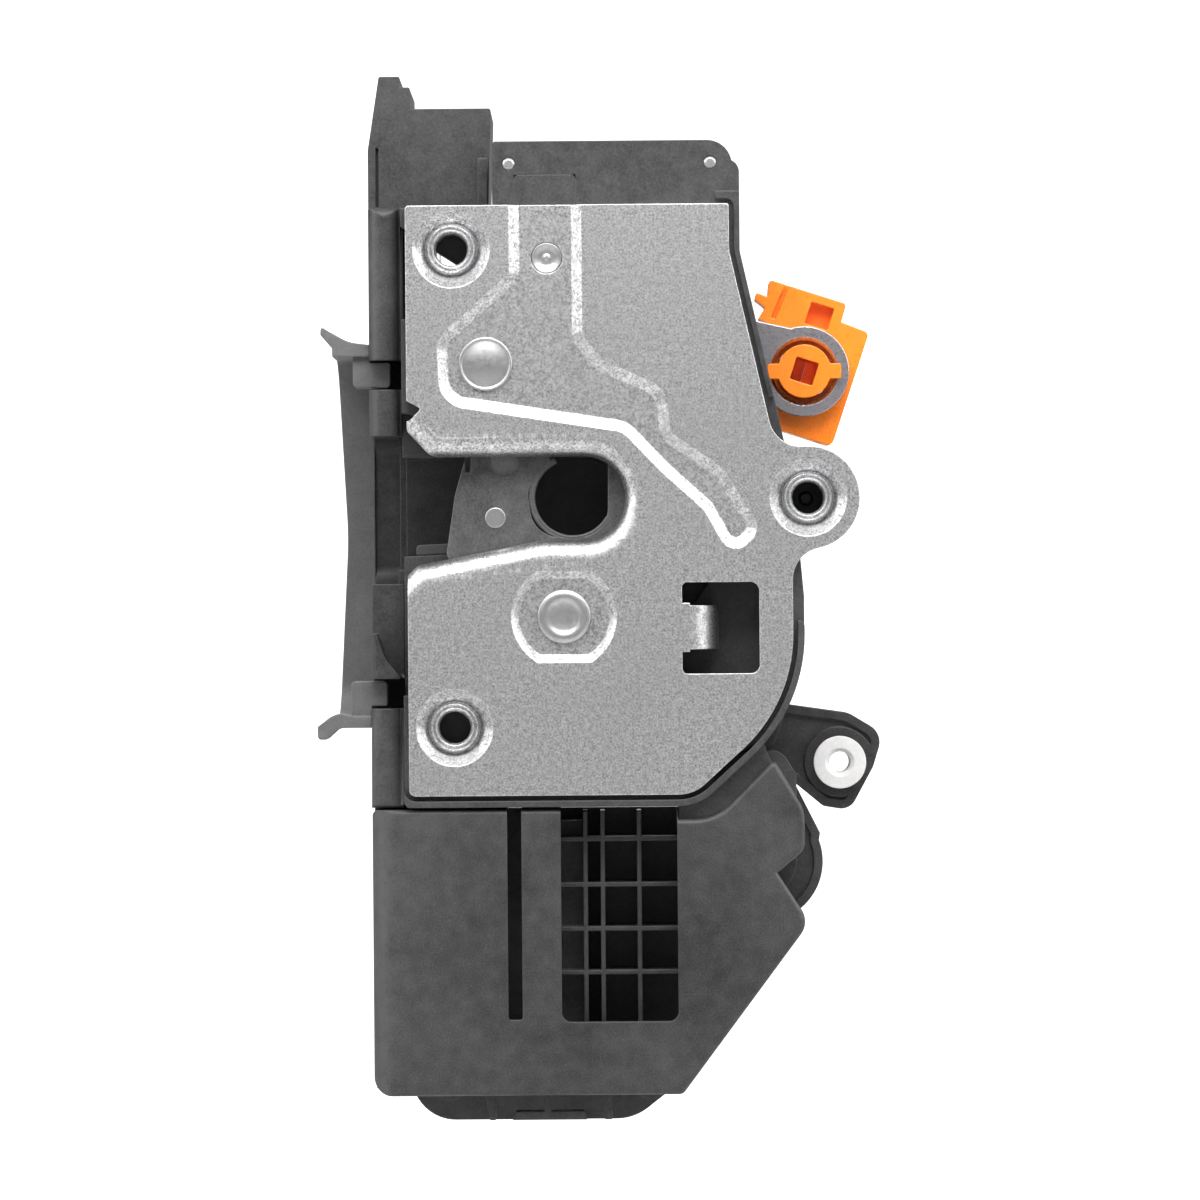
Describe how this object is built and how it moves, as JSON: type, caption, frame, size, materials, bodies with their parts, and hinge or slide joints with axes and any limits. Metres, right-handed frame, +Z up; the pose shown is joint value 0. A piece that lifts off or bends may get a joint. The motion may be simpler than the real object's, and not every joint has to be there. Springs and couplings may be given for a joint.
{
  "type": "door latch actuator",
  "caption": "Vehicle side door latch with a steel face plate, a claw that turns in a slotted mouth, release levers and a geared lock motor in a moulded case.",
  "frame": {"origin": "axis of the lower screw hole, on the front of the face plate", "axes": "+Z up the face plate as mounted, -Y out of the face plate towards the door edge, +X right when looking at the face plate, away from the side face with the striker mouth"},
  "size_m": [0.0878, 0.08, 0.1644],
  "materials": {
    "plate_steel": "zinc plated, fine grain",
    "rivet_steel": "satin",
    "hard_steel": "satin",
    "lever_steel": "zinc plated",
    "spring_steel": "drawn wire",
    "motor_steel": "satin",
    "black_plastic": "fine grain",
    "dark_plastic": "satin",
    "lever_plastic": "satin",
    "orange_plastic": "glossy",
    "white_plastic": "satin",
    "bumper_rubber": "matte",
    "seal_rubber": "matte",
    "pin_brass": "tinned"
  },
  "bodies": {
    "latch": {"face_plate": "plate_steel", "fork_rivet": "rivet_steel", "pawl_rivet": "rivet_steel", "plate_stud": "rivet_steel", "latch_housing": "black_plastic", "back_plate": "plate_steel", "striker_bumper": "bumper_rubber", "head_pins": "rivet_steel", "outside_pin": "rivet_steel", "front_cover": "black_plastic", "actuator_case": "black_plastic", "case_lid": "black_plastic", "wheel_axle": "rivet_steel", "lock_motor": "motor_steel", "side_case": "black_plastic", "side_lid": "black_plastic", "lead_frame": "black_plastic", "connector_shroud": "black_plastic", "connector_pins": "pin_brass", "inside_pin": "rivet_steel", "mouth_seal": "seal_rubber", "fork_spring": "spring_steel", "pawl_spring": "spring_steel", "outside_spring": "spring_steel", "ajar_switch": "dark_plastic"},
    "fork": {"fork_bolt": "hard_steel", "fork_skin": "dark_plastic"},
    "pawl": {"pawl": "hard_steel"},
    "outside_lever": {"outside_lever": "lever_steel"},
    "rod_clip": {"rod_clip": "orange_plastic", "clip_barrel": "orange_plastic"},
    "lock_lever": {"lock_lever": "lever_plastic", "lock_bushing": "white_plastic", "lock_sector": "white_plastic"},
    "drive_wheel": {"drive_wheel": "white_plastic"},
    "motor_pinion": {"motor_pinion": "white_plastic"},
    "inside_lever": {"inside_lever": "lever_steel"}
  },
  "joints": [
    {"name": "fork_pivot", "type": "hinge", "parent": "latch", "child": "fork", "pos_m": [0.0171, 0.008, 0.0171], "axis": [0, 1, 0], "range_deg": [-58, 0]},
    {"name": "pawl_pivot", "type": "hinge", "parent": "latch", "child": "pawl", "pos_m": [0.0052, 0.008, 0.0564], "axis": [0, 1, 0], "range_deg": [-27, 0]},
    {"name": "outside_lever_pivot", "type": "hinge", "parent": "latch", "child": "outside_lever", "pos_m": [0.034, 0.0218, 0.0605], "axis": [0, 1, 0], "range_deg": [0, 22]},
    {"name": "rod_clip_swivel", "type": "hinge", "parent": "outside_lever", "child": "rod_clip", "pos_m": [0.0552, 0.024, 0.0555], "axis": [0, 1, 0], "range_deg": [-15, 15]},
    {"name": "lock_lever_pivot", "type": "hinge", "parent": "latch", "child": "lock_lever", "pos_m": [0.0477, 0.015, -0.0215], "axis": [0, 1, 0], "range_deg": [-10, 25]},
    {"name": "drive_wheel_spin", "type": "hinge", "parent": "latch", "child": "drive_wheel", "pos_m": [0.03384, 0.024, -0.0295], "axis": [0, 1, 0], "range_deg": [-75, 30]},
    {"name": "motor_pinion_spin", "type": "hinge", "parent": "latch", "child": "motor_pinion", "pos_m": [0.01934, 0.026, -0.03626], "axis": [0, 1, 0], "range_deg": [-90, 225]},
    {"name": "inside_lever_pivot", "type": "hinge", "parent": "latch", "child": "inside_lever", "pos_m": [-0.0037, 0.058, -0.018], "axis": [1, 0, 0], "range_deg": [0, 25]}
  ],
  "couplings": [
    {"joint": "pawl_pivot", "follows": "fork_pivot", "ratio": 0.45},
    {"joint": "drive_wheel_spin", "follows": "lock_lever_pivot", "ratio": -3},
    {"joint": "motor_pinion_spin", "follows": "lock_lever_pivot", "ratio": 9}
  ]
}
